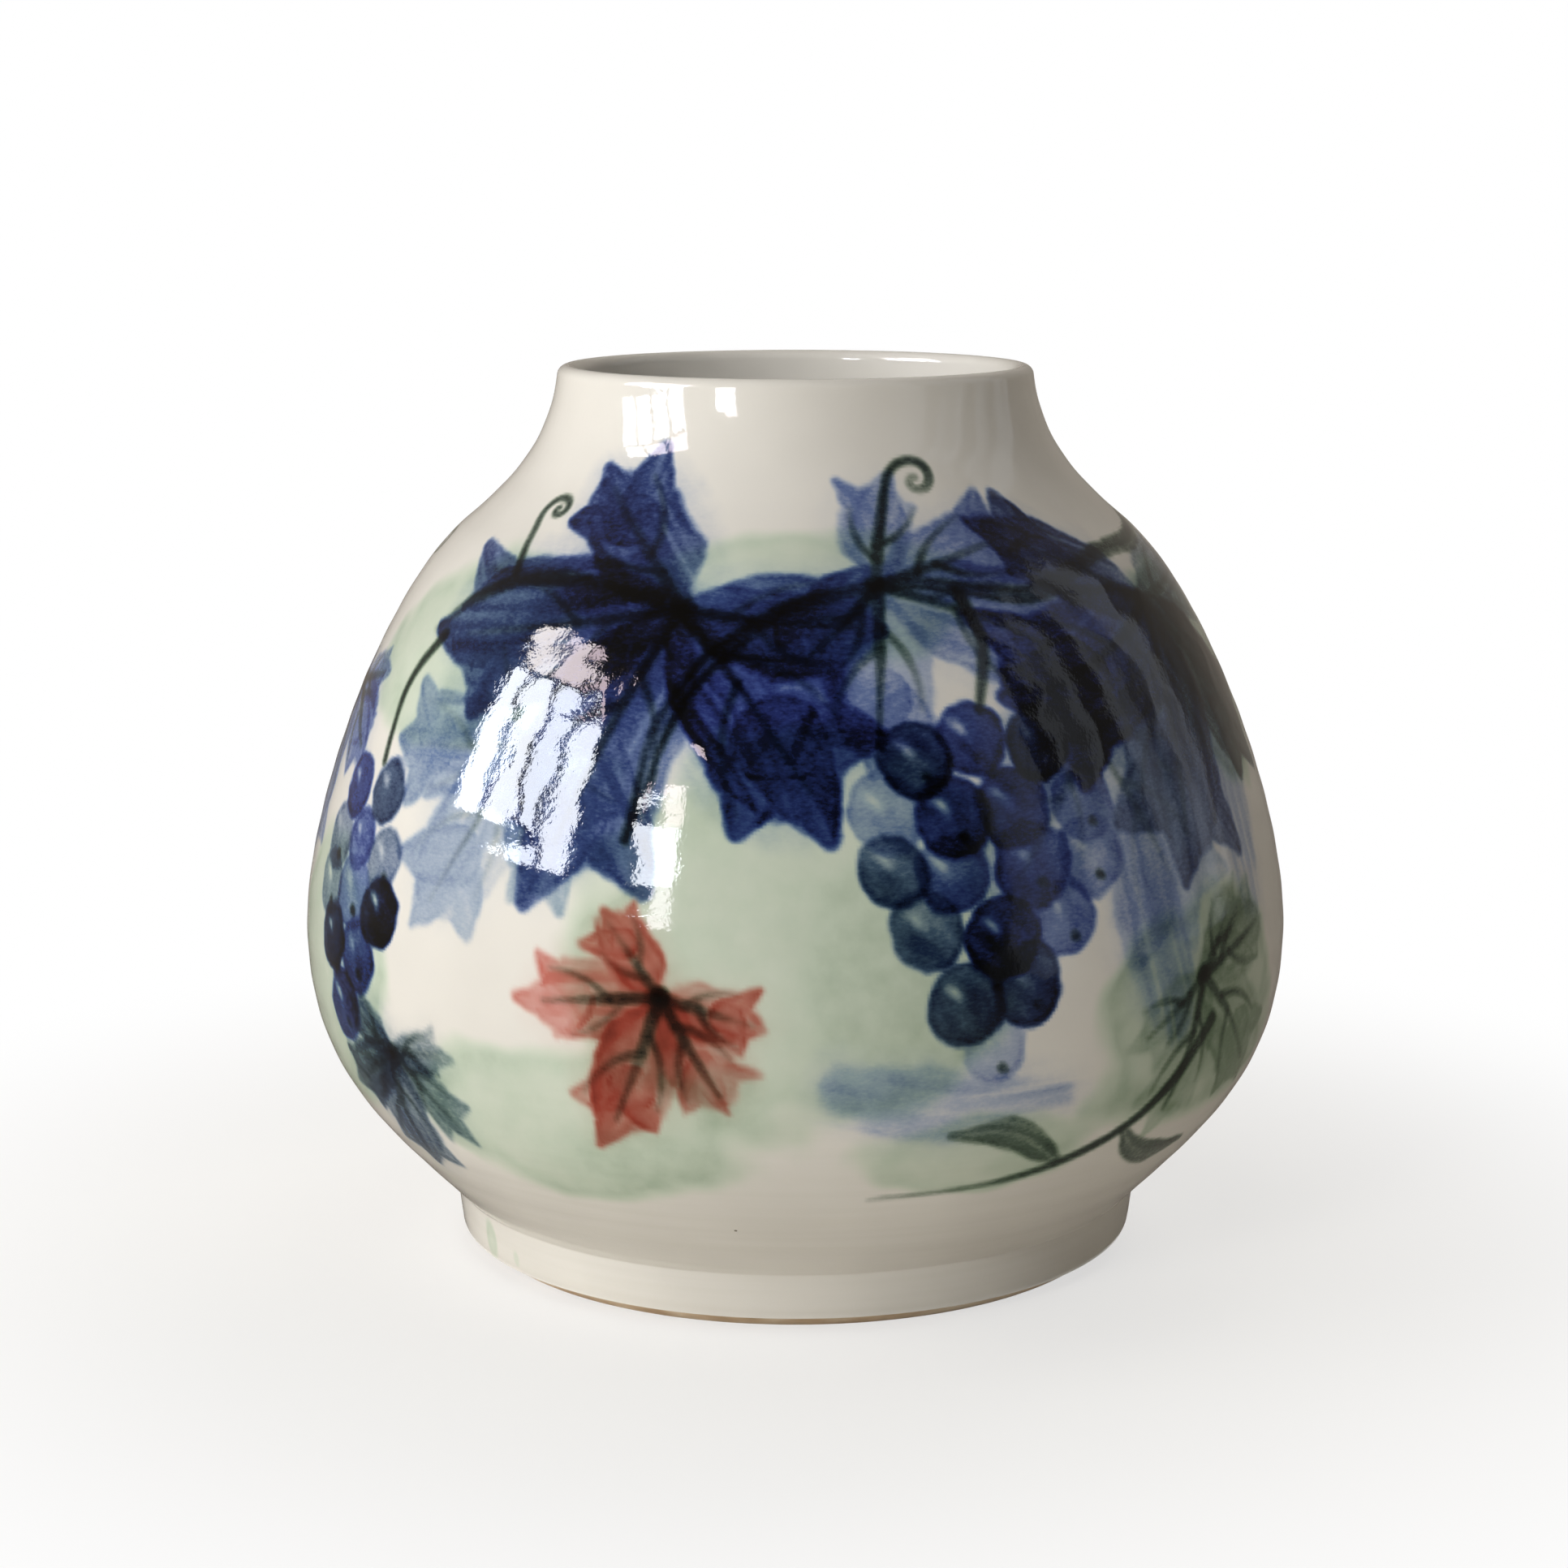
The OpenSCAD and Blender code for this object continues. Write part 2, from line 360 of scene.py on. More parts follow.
def stroke(here, points, widths, load, seed, wet=1.0, ragged=0.8, streaks=0.3, pool=0.25, fade=1.0,
           dry=0.0, tilt=0.0, bleed=0.0):
    """One pull of the brush along points, with its half widths along the way.

    Gives the points of the coat that it reaches and how much pigment it leaves on each. wet is how soft its
    edge is, and ragged how far the edge wanders, in millimetres. The others are shares: streaks is how much
    the bristles show, pool how much gathers at the rim, fade what is left at the end, dry how far the end
    breaks up, tilt how much more one side holds, and bleed how much creeps out.
    """
    right, up = here
    line = smooth_line(points)
    half = np.interp(np.linspace(0, 1, len(line)), np.linspace(0, 1, len(widths)), widths)
    halo = BLEED_REACH if bleed else 0.0
    pad = max(widths) + 3 * ragged + 2 + halo
    low, high = line.min(0) - pad, line.max(0) + pad
    near = np.flatnonzero((right > low[0]) & (right < high[0]) & (up > low[1]) & (up < high[1]))
    at = np.stack([right[near], up[near]], 1)
    run = length_along(line)
    edge = np.full(len(near), -1e3)
    side = np.zeros(len(near))
    along = np.zeros(len(near))
    wide = np.ones(len(near))
    for i in range(len(line) - 1):
        way = line[i + 1] - line[i]
        far = np.linalg.norm(way)
        t = np.clip((at - line[i]) @ way / far**2, 0, 1)
        off = at - line[i] - t[:, None] * way
        half_here = half[i] + t * (half[i + 1] - half[i])
        inside = half_here - np.hypot(off[:, 0], off[:, 1])
        better = inside > edge
        edge[better] = inside[better]
        side[better] = ((off[:, 1] * way[0] - off[:, 0] * way[1]) / far)[better]
        along[better] = run[i] + t[better] * far
        wide[better] = half_here[better]
    kept = edge > -3 * ragged - wet - halo
    near, edge, side, along, wide = near[kept], edge[kept], side[kept], along[kept], wide[kept]
    spot = spots[near]
    edge = edge + ragged * (0.8 * cloud(spot, 16, seed, 2) + 0.7 * cloud(spot, 5, seed + 5))
    share = along / run[-1]
    hair = np.stack([side / BRISTLE[0], along / BRISTLE[1], np.full(len(near), seed * 1.7)], 1)
    bristle = noise(hair, 1, seed + 2)
    worn = dry * smooth(0.3, 1, share) * (1 - smooth(0.3, 0.6, bristle))
    cover = smooth(-1.4 * wet, 1.3 * wet, edge) ** 1.3 * (1 - worn)
    creep = smooth(-BLEED_REACH, 0, edge + 4 * cloud(spot, 10, seed + 12))
    cover = cover + bleed * creep * (1 - cover)
    swath = np.stack([side / COLOUR_BAND[0], along / COLOUR_BAND[1], np.full(len(near), seed * 2.3)], 1)
    bands = noise(swath, 1, seed + 15)
    mottle = (1 + 0.25 * cloud(spot, 12, seed + 9)) * (0.65 + 0.7 * bands)
    rim = 1 + pool * np.exp(-((edge / RIM_WIDTH) ** 2))
    lean = 1 + tilt * np.clip(side / np.maximum(wide, 0.1), -1, 1)
    brush = (1 + streaks * (2 * bristle - 1)) * (1 + (fade - 1) * share)
    return near, load * cover * mottle * rim * lean * brush


def line_of(pigment, place, points, widths, load, seed, **manner):
    """Draws one stroke."""
    lay(pigment, *stroke(skin(place), points, widths, load, seed, **manner))


def wash(pigment, place, size, load, seed, blur):
    """A pale pool of thin colour with a wandering edge, where a little more colour settled."""
    right, up = skin(place)
    near = np.flatnonzero((np.abs(right) < 1.7 * size[0]) & (np.abs(up) < 1.7 * size[1]))
    spot = spots[near]
    reach = 1 - np.hypot(right[near] / size[0], up[near] / size[1])
    reach = reach + 0.42 * cloud(spot, 34, seed) + 0.09 * cloud(spot, 11, seed + 6, 2)
    settled = 1 + 0.3 * np.exp(-(((reach - blur) / (0.6 * blur)) ** 2))
    lay(pigment, near, load * smooth(0, blur, reach) * settled * (1 + 0.25 * cloud(spot, 16, seed + 3)))


def grape(here, pigment, centre, size, load, light, seed):
    """A round dab with a wet rim, darker below, and a light crescent that the brush left."""
    right = here[0] - centre[0]
    up = here[1] - centre[1]
    near = np.flatnonzero((np.abs(right) < size + 4) & (np.abs(up) < size + 4))
    x = right[near] / size
    y = up[near] / size
    spot = spots[near]
    edge = size * (1 - np.hypot(x, y * 0.95)) + 1.7 * cloud(spot, 9, seed) + 0.6 * cloud(spot, 4, seed + 4, 2)
    pull = noise(np.stack([(x + y) * 2.2, (x - y) * 0.7, np.full(len(near), seed * 1.3)], 1), 1, seed + 8)
    shade = (0.9 + 0.14 * (0.55 * x - 0.8 * y) + 0.3 * cloud(spot, 8, seed + 7)) * (0.75 + 0.5 * pull)
    across = 0.7 * (x + 0.3) - 0.7 * (y - 0.32)
    along = 0.7 * (x + 0.3) + 0.7 * (y - 0.32) + 0.5 * across**2
    crescent = np.exp(-(across**2) / 0.12 - along**2 / 0.03)
    rim = 1 + 0.55 * np.exp(-((edge / 1.2) ** 2))
    lay(pigment, near, load * smooth(-1.5, 1.2, edge) ** 1.3 * shade * rim * (1 - light * crescent))


# A leaf's lobes, with lean in degrees and share of the leaf's size, and a lobe's points, with turn in degrees
# and share of the lobe. Half widths along the way are shares of the lobe
LOBES = ((112, 0.62), (-108, 0.6), (57, 0.86), (-60, 0.83), (0, 1.0))
LOBE_WIDTHS = np.array((0.08, 0.25, 0.27, 0.15))
LOBE_POINTS = ((-56, 0.36), (2, 0.42), (52, 0.37))
POINT_WIDTHS = np.array((0.17, 0.13, 0.03))


def vine_leaf(place, swing, size, mixes, seed, veins=0.75):
    """A leaf of five broad wet pulls from its stalk, with points drawn out, and veins.

    Each pull takes the next of the mixes.
    """
    draw = np.random.default_rng(seed)
    here = skin(place)
    spines = []
    for number, (lean, share) in enumerate(LOBES):
        reach = size * share * draw.uniform(0.9, 1.1)
        angle = swing + lean + draw.uniform(-8, 8)
        bow = draw.uniform(-0.07, 0.07)
        load = draw.uniform(0.5, 1.15)
        tilt = draw.uniform(-0.5, 0.5)
        fade = draw.uniform(0.6, 1.3)
        pull = swung([(0, 0.07), (bow, 0.36), (1.5 * bow, 0.62), (bow, 0.8)], angle, reach)
        lobe = np.zeros(len(spots))
        near, amount = stroke(here, pull, reach * LOBE_WIDTHS, load, seed * 31 + number, wet=1.2, ragged=1.8,
                              streaks=0.35, pool=0.3, fade=fade, tilt=tilt, bleed=0.08)
        lobe[near] = amount
        for turn, far in LOBE_POINTS:
            start = np.array([(1.4 * bow, 0.62)])
            tip = start + swung([(0, 0.5), (0.02, 1)], turn, far * draw.uniform(0.8, 1.2))
            point = swung(np.vstack([start, tip]), angle, reach)
            point_seed = seed * 37 + number * 3 + turn % 7
            near, amount = stroke(here, point, reach * POINT_WIDTHS, load * fade, point_seed,
                                  wet=1.1, ragged=1.3, streaks=0.3, pool=0.3)
            lobe[near] = np.maximum(lobe[near], amount)
        held = np.flatnonzero(lobe)
        for pigment, part in mixes[number % len(mixes)]:
            lay(pigment, held, part * lobe[held])
        spines.append((angle, reach, bow))
    for number, (angle, reach, bow) in enumerate(spines):
        spine = swung([(0, -0.03), (bow, 0.4), (1.5 * bow, 0.86)], angle, reach)
        lay("ink", *stroke(here, spine, (1.6, 1.2, 0.7), veins, seed * 41 + number,
                           wet=0.9, ragged=0.5, dry=0.4, fade=0.35))
        for way in (-1, 1):
            start = np.array([(bow, 0.3 + 0.06 * way)])
            twig = np.vstack([start, start + [(way * 0.12, 0.12), (way * 0.2, 0.28), (way * 0.23, 0.42)]])
            twig = swung(twig, angle, reach)
            lay("ink", *stroke(here, twig, (1.1, 0.9, 0.6), 0.7 * veins, seed * 43 + number + way,
                               wet=0.9, ragged=0.4, fade=0.25))


GRAPE_LOADS = (0.32, 0.6, 0.85, 1.1, 1.35)
TIP_CHANCE = 0.55


def grape_bunch(place, rows, size, seed, dark=0.8, inky=0.35):
    """A hanging bunch: rows of dabs that narrow downwards, in lighter and darker loads."""
    draw = np.random.default_rng(seed)
    here = skin(place)
    pitch = 2 * size * 0.94
    for row, count in enumerate(rows):
        for i in range(count):
            centre = np.array([(i - (count - 1) / 2) * pitch, -row * pitch * 0.84])
            centre = centre + draw.uniform(-0.24, 0.24, 2) * size
            load = dark * draw.choice(GRAPE_LOADS)
            dab = size * draw.uniform(0.82, 1.1)
            number = seed * 100 + row * 10 + i
            light = draw.uniform(0.45, 0.95)
            grape(here, "cobalt", centre, dab, load, light, number)
            if draw.uniform() < inky:
                grape(here, "ink", centre, dab * 0.98, 0.55 * load, light, number)
            tip = centre + (0.2 * size, -0.5 * size)
            if draw.uniform() < TIP_CHANCE:
                lay("ink", *stroke(here, [tip, tip + (1.0, -0.6)], (1.1, 0.7), 0.9, number, ragged=0.25))


def tendril(place, swing, size, turns, load, seed):
    """A thin line that runs out and curls up."""
    t = np.linspace(0, 1, 10 * turns)
    curl = 2 * math.pi * turns * np.clip(t - 0.3, 0, 1) ** 1.2
    step = size * (1.1 - t) * 3.2 / len(t)
    line = swung(np.stack([np.cumsum(np.sin(curl) * step), np.cumsum(np.cos(curl) * step)], 1), swing)
    line_of("ink", place, line, (1.4, 1.0, 1.2, 0.9, 0.7), load, seed,
            wet=0.9, ragged=0.3, streaks=0.2, pool=0.1, dry=0.5)


# Mixes of pigments and their shares for leaves
DEEP_BLUE = ((("cobalt", 0.95), ("ink", 0.2)), (("cobalt", 0.75),))
MID_BLUE = ((("cobalt", 0.55),),)
PALE_BLUE = ((("cobalt", 0.2), ("celadon", 0.25)), (("cobalt", 0.13), ("celadon", 0.35)))
SLATE = ((("cobalt", 0.5), ("ink", 0.5)), (("cobalt", 0.35), ("ink", 0.45)))
STORM = (
    (("cobalt", 0.9), ("ink", 0.3)),
    (("cobalt", 0.45), ("ink", 0.5)),
    (("cobalt", 1.05),),
    (("cobalt", 0.25), ("ink", 0.6), ("celadon", 0.8)),
)
RUST = ((("iron_red", 0.85),), (("iron_red", 0.6),))
LEAF_GREEN = ((("celadon", 1.3), ("ink", 0.1)), (("celadon", 1.0), ("ink", 0.2)))

# Thin green washes lie under the rest, each with a deeper pool low in it
for number, (angle, z, wide, high, load, blur) in enumerate((
    (-50, 186, 50, 34, 0.7, 0.22),
    (0, 206, 48, 24, 0.6, 0.24),
    (2, 122, 64, 56, 0.75, 0.2),
    (-24, 66, 60, 28, 0.7, 0.24),
    (52, 84, 50, 38, 0.85, 0.2),
    (68, 178, 42, 36, 0.85, 0.2),
    (-66, 96, 42, 52, 0.7, 0.22),
    (112, 150, 46, 50, 0.85, 0.2),
    (150, 84, 52, 34, 0.7, 0.22),
    (178, 182, 50, 34, 0.7, 0.22),
    (-140, 120, 46, 48, 0.75, 0.2),
    (-108, 190, 42, 28, 0.7, 0.22),
    (-60, 10, 4, 7, 0.5, 0.45),
    (96, 60, 40, 26, 0.75, 0.22),
    (-170, 56, 44, 24, 0.75, 0.22),
    (20, 60, 34, 16, 0.65, 0.24),
)):
    wash("celadon", (angle, z), (wide, high), 1.1 * load, 300 + number, blur)
    wash("celadon", (angle + 8, z - 0.25 * high), (0.55 * wide, 0.55 * high), 0.6 * load, 340 + number, 0.45)

# Broad pale pulls of a brush that was running dry
for number, (angle, z, swing, far, half, load) in enumerate((
    (17, 79, 96, 60, 10, 0.28),
    (44, 116, 172, 54, 13, 0.32),
    (64, 140, 185, 50, 12, 0.28),
    (124, 124, 100, 60, 13, 0.3),
    (-146, 124, 170, 56, 13, 0.3),
    (176, 92, 96, 64, 11, 0.28),
    (-94, 134, 165, 50, 12, 0.28),
)):
    pull = swung([(0, -0.5), (0.06, 0), (0, 0.5)], swing, far)
    line_of("cobalt", (angle, z), pull, (0.7 * half, half, 0.95 * half, 0.5 * half), load, 360 + number,
            wet=2.6, ragged=2.4, streaks=0.4, pool=0.2, fade=0.5, dry=0.45, bleed=0.15)

# The vine goes round the shoulder, with shoots at the front
VINE = dict(streaks=0.6, ragged=1.1, dry=0.7)
SPRIG = (34, 58)
LEAFLET = dict(ragged=0.9, streaks=0.5)
line_of("ink", (40, 207),
        [(96, 20), (60, 8), (26, 6), (-8, -4), (-46, 2), (-86, -10), (-118, -34), (-140, -70)],
        (3.6, 3.0, 2.2, 2.8, 1.8, 2.4, 1.8, 1.2), 0.7, 401, **VINE)
line_of("ink", (170, 207), [(118, 8), (62, -6), (4, 2), (-58, -12), (-124, 4)],
        (2.6, 3.4, 2.6, 3.4, 3.2), 0.8, 402, **VINE)
line_of("ink", (-110, 204), [(-64, 6), (-20, 2), (20, -10), (46, -36)],
        (3.0, 2.4, 2.4, 1.4), 0.8, 403, **VINE)
line_of("ink", (-20, 204), [(0, 0), (-26, 5), (-54, 0), (-80, -16)], (2.2, 1.7, 1.9, 1.4), 0.75, 409, **VINE)
line_of("ink", (24, 206), [(0, 0), (3, -16), (-2, -34)], (2.0, 1.5, 1.2), 0.9, 404, ragged=0.5)
line_of("ink", (-60, 186), [(8, 4), (0, -12), (2, -34)], (1.6, 1.4, 1.1), 0.85, 405, ragged=0.5)
line_of("ink", SPRIG, [(46, 30), (20, 6), (-16, -8), (-58, -12)],
        (1.8, 1.5, 1.1, 0.5), 0.85, 406, ragged=0.5, dry=0.6)
line_of("ink", SPRIG, [(-6, -5), (-14, 2), (-26, 9), (-42, 10)], (0.8, 3.6, 4.6, 0.8), 0.6, 407, **LEAFLET)
line_of("ink", SPRIG, [(14, 3), (22, -6), (34, -12), (50, -12)], (0.8, 3.8, 4.8, 0.8), 0.6, 408, **LEAFLET)

# Pale leaves lie behind the darker ones and the fruit
vine_leaf((38, 168), 160, 64, PALE_BLUE, 51, 0.22)
vine_leaf((-34, 166), 214, 58, PALE_BLUE, 52, 0.2)
vine_leaf((172, 160), 150, 64, PALE_BLUE, 53, 0.22)
vine_leaf((-122, 150), 170, 60, PALE_BLUE, 54, 0.2)

# Leaves and fruit at the front
vine_leaf((12, 208), 124, 62, MID_BLUE, 22)
vine_leaf((-16, 202), 206, 88, DEEP_BLUE, 21)
vine_leaf((60, 198), 196, 86, STORM, 23)
vine_leaf((-14, 106), 210, 46, RUST, 24, 0.6)
vine_leaf((50, 100), 140, 54, LEAF_GREEN, 25, 0.8)
vine_leaf((-50, 78), 190, 40, SLATE, 20, 0.7)
grape_bunch((22, 168), (3, 4, 4, 3, 2, 1), 10.4, 31)
grape_bunch((-60, 146), (2, 3, 3, 2, 1), 9.4, 32, dark=0.95, inky=0.75)
tendril((12, 210), 14, 34, 2, 0.85, 41)
tendril((-46, 204), -20, 26, 2, 0.8, 42)

# Leaves and fruit round the back
vine_leaf((122, 198), 196, 84, STORM, 26)
vine_leaf((146, 200), 140, 60, MID_BLUE, 30)
vine_leaf((176, 120), 200, 56, LEAF_GREEN, 27, 0.8)
vine_leaf((-146, 198), 186, 78, DEEP_BLUE, 28)
vine_leaf((-100, 176), 206, 54, RUST, 29, 0.75)
vine_leaf((98, 92), 150, 46, SLATE, 36, 0.7)
vine_leaf((-82, 170), 176, 54, MID_BLUE, 37, 0.6)
grape_bunch((162, 164), (3, 4, 4, 3, 2, 1), 10.4, 33)
grape_bunch((-122, 128), (2, 3, 3, 2, 1), 9.6, 34, inky=0.6)
tendril((100, 204), 30, 32, 2, 0.8, 44)
tendril((-172, 199), -30, 34, 2, 0.8, 45)
tendril((-95, 186), 20, 30, 2, 0.75, 46)

# Surface of the coats: the thrower's unevenness, and thick colour that stands proud


def evened(amount, reach, cell=1.2):
    """Amounts on the skin averaged over a reach in millimetres, as melting glaze evens out what it covers.

    They are gathered in cells around and up the jar, spread to their neighbours and read back at each point.
    """
    columns = int(2 * math.pi * girth_r / cell)
    rows = int(climb[-1] / cell) + 4
    across = (around / (2 * math.pi) + 0.5) * columns
    up = height / cell + 1
    place = np.round(up).astype(int) * columns + np.round(across).astype(int) % columns
    total = np.bincount(place, amount, rows * columns).reshape(rows, columns)
    count = np.bincount(place, minlength=rows * columns).reshape(rows, columns).astype(float)
    for _ in range(round(2 * (reach / cell) ** 2)):
        for axis in (0, 1):
            total = (np.roll(total, 1, axis) + 2 * total + np.roll(total, -1, axis)) / 4
            count = (np.roll(count, 1, axis) + 2 * count + np.roll(count, -1, axis)) / 4
    level = total / np.maximum(count, 1e-6)
    row = np.floor(up).astype(int)
    left = np.floor(across).astype(int)
    low = left % columns
    high = (left + 1) % columns
    below = level[row, low] + (across - left) * (level[row, high] - level[row, low])
    above = level[row + 1, low] + (across - left) * (level[row + 1, high] - level[row + 1, low])
    return below + (up - row) * (above - below)


# Heights of the unevenness, pitch of the throwing rings and how far thick colour melts smooth, in millimetres
paint_body = 0.06
paint_ridge = 0.14
oval = 0.16
three_sided = 0.07
throwing_ring = 0.05
turning_line = 0.006
hand_wave = 0.16
finger_mark = 0.035
throwing_pitch = 13
melt_reach = 2.0

pigments["cobalt"] *= 0.64 + 0.82 * noise(spots, 24, 90)
held = evened(pigments["cobalt"] + pigments["ink"], melt_reach)
ridges = np.clip(1 - 2.0 * np.abs(cloud(spots, 15, 70, 2)), 0, 1)
thick_paint = paint_body * smooth(0.4, 1.4, held) + paint_ridge * ridges * smooth(0.6, 1.4, held)
out_of_round = oval * np.cos(2 * around + 0.6) + three_sided * np.cos(3 * around + 2.0)
throwing = throwing_ring * np.sin(2 * math.pi * height / throwing_pitch + 1.5 * cloud(spots, 60, 3))
turning = turning_line * cloud(spots * (0.03, 0.03, 1), 4, 4, 2) * (1 - smooth(50, 85, spots[:, 2]))
hand = hand_wave * cloud(spots, 55, 1, 2) + finger_mark * cloud(spots, 14, 2, 2)
on_outside = smooth(0.2, 0.4, radius - np.interp(height, climb, outside[:, 0]) + glaze_t)
uneven_wall = (out_of_round + throwing + turning + hand) * smooth(0, 3, spots[:, 2] - bevel_z)
lift = uneven_wall + thick_paint * on_outside
out = np.stack([spots[:, 0] / radius, spots[:, 1] / radius, np.zeros(len(spots))], 1)
spots = spots + lift[:, None] * out

first = 0
for piece in coats:
    last = first + len(piece.data.vertices)
    move_points(piece, spots[first:last])
    for name, amount in pigments.items():
        layer = piece.data.attributes.new(name, "FLOAT", "POINT")
        layer.data.foreach_set("value", amount[first:last].astype(np.float32))
    first = last

# The lining inside, with the rings that fingers leave

inner_wall = inset(between(outside, base_seam_z, neck_root[1]), whole_t)
throat_low = np.array([throat_r, throat_low_z])
throat_bend = bend(inner_wall[-1], neck_lean, root_pull, throat_low, 0, lip_pull)
inner_lip = quarter(lip_centre, lip_r, 180, 90, 14)
middle = np.array([0.0, floor_z])
wall_foot = inner_wall[np.argmax(inner_wall[:, 1] > floor_z + 1)]
flare_down = heading(flare_lean)
floor_corner = wall_foot - flare_down * (wall_foot[1] - floor_z) / flare_down[1]
corner_reach = 7.0
inner_face = joined(
    [middle],
    soft_corner(middle, floor_corner, wall_foot, corner_reach),
    inner_wall[inner_wall[:, 1] > floor_z + corner_reach],
    throat_bend,
    inner_lip[:1],
)
lining_back = inset(joined(inner_face, inner_lip), -glaze_t)
lining_back[0, 0] = 0.0
inner_steps = 360
lining_outline = np.vstack([evenly(inner_face, 165), inner_lip[1:], evenly(lining_back, 40)[::-1]])
lining = turned("lining_glaze", lining_outline, inner_steps)
ring_depth = 0.22
ring_pitch = 11
places = points_of(lining)
reach = np.hypot(places[:, 0], places[:, 1])
turn = np.arctan2(places[:, 1], places[:, 0])
wave = 2 * math.pi * places[:, 2] / ring_pitch + turn + 1.2 * cloud(places, 70, 8)
finger_rings = ring_depth * np.sin(wave)
finger_rings *= smooth(floor_z + 4, floor_z + 20, places[:, 2])
finger_rings *= 1 - smooth(neck_root[1] + 10, neck_root[1] + 35, places[:, 2])
places[:, :2] *= (1 - finger_rings / np.maximum(reach, 1))[:, None]
move_points(lining, places)

# The foot ring, bare where it stands, and the coat in its hollow

ring_in_r = hollow_high[0]
inner_bevel = 2.0
outer_bevel = 6.0
foot_edge = 0.5
foot_steps = 540
chip_depth = 0.12
ring_outline = np.array([
    [ring_in_r + inner_bevel, 0.0],
    [foot_low_r - glaze_t - outer_bevel, 0.0],
    [foot_low_r - glaze_t, bevel_z],
    [ring_high[0], ring_high[2]],
    [ring_in_r, ring_high[2]],
    [ring_in_r, inner_bevel],
])
corners = np.roll(ring_outline, 1, 0), ring_outline, np.roll(ring_outline, -1, 0)
foot = turned("bare_foot", np.vstack([soft_corner(*c, foot_edge, 3) for c in zip(*corners)]), foot_steps)
places = points_of(foot)
reach = np.hypot(places[:, 0], places[:, 1])
wear = chip_depth * np.clip(cloud(places, 5, 60), -1, 0)
wear *= 1 - smooth(bevel_z - 1, bevel_z + 1, places[:, 2])
places[:, :2] *= (1 + wear / reach)[:, None]
move_points(foot, places)

hollow_r = ring_in_r - glaze_t
hollow_z = hollow_high[2] - glaze_t
hollow_corner = np.array([hollow_r, hollow_z])
hollow_foot = np.array([hollow_r, bevel_z])
hollow_bend = 3.0
hollow_face = np.vstack([
    evenly(np.array([[0, hollow_z], [hollow_r - hollow_bend - 1, hollow_z]]), 24),
    soft_corner(np.array([0, hollow_z]), hollow_corner, hollow_foot, hollow_bend),
    [hollow_foot + (0, 0.4)],
    [hollow_foot + (0.15, 0.08)],
])
hollow_back = np.array([[ring_in_r, bevel_z], [ring_in_r, hollow_high[2]], [0, hollow_high[2]]])
hollow = turned("hollow_glaze", np.vstack([hollow_face, hollow_back]), inner_steps)

for piece in coats:
    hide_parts("outside_glaze")
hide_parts("inside_glaze")
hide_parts("underside_glaze")
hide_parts("foot_ring")
for piece in (*coats, lining, hollow, foot):
    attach(piece, "root")

# Materials


def linear(code):
    """An sRGB hex colour as linear values, opaque."""
    parts = [int(code[i:i + 2], 16) / 255 for i in (1, 3, 5)]
    return (*(p / 12.92 if p <= 0.04045 else ((p + 0.055) / 1.055) ** 2.4 for p in parts), 1.0)


def per(size):
    """Texture scale for features of a size in millimetres."""
    return 1 / (size * MM)


def add(tree, kind, settings=None, links=None):
    """Adds a node, sets its properties, inputs or colour stops, and links its inputs to others' outputs."""
    made = tree.nodes.new("ShaderNode" + kind)
    for name, value in (settings or {}).items():
        if name == "stops":
            while len(made.color_ramp.elements) < len(value):
                made.color_ramp.elements.new(0.5)
            for stop, (place, colour) in zip(made.color_ramp.elements, value):
                stop.position = place
                stop.color = linear(colour)
        elif isinstance(name, str) and hasattr(made, name):
            setattr(made, name, value)
        else:
            made.inputs[name].default_value = value
    for name, source in (links or {}).items():
        tree.links.new(source, made.inputs[name])
    return made


def new_material(name):
    """An empty material with its tree and object coordinates."""
    made = bpy.data.materials.new(name)
    made.use_nodes = True
    made.node_tree.nodes.clear()
    return made, made.node_tree, add(made.node_tree, "TexCoord").outputs["Object"]


# Load at which a pigment has its last colour, and the share of it that bare glaze ripples with
PIGMENT_FULL = 1.6
BARE_RIPPLE = 0.5
PIGMENT_COLOURS = {
    "cobalt": ((0.0, "#FFFFFF"), (0.1, "#BFCDE9"), (0.24, "#768CC4"), (0.42, "#40549B"), (0.6, "#29367A"),
               (0.8, "#151B44"), (1.0, "#0A0C18")),
    "celadon": ((0.0, "#FFFFFF"), (0.3, "#ECF6ED"), (0.6, "#D9EADC"), (1.0, "#A2BCA4")),
    "iron_red": ((0.0, "#FFFFFF"), (0.2, "#F0CECA"), (0.45, "#D88279"), (0.7, "#BB4C42"), (1.0, "#842A23")),
    "ink": ((0.0, "#FFFFFF"), (0.15, "#B4BEB5"), (0.35, "#6E7D75"), (0.6, "#3A4743"), (1.0, "#141918")),
}


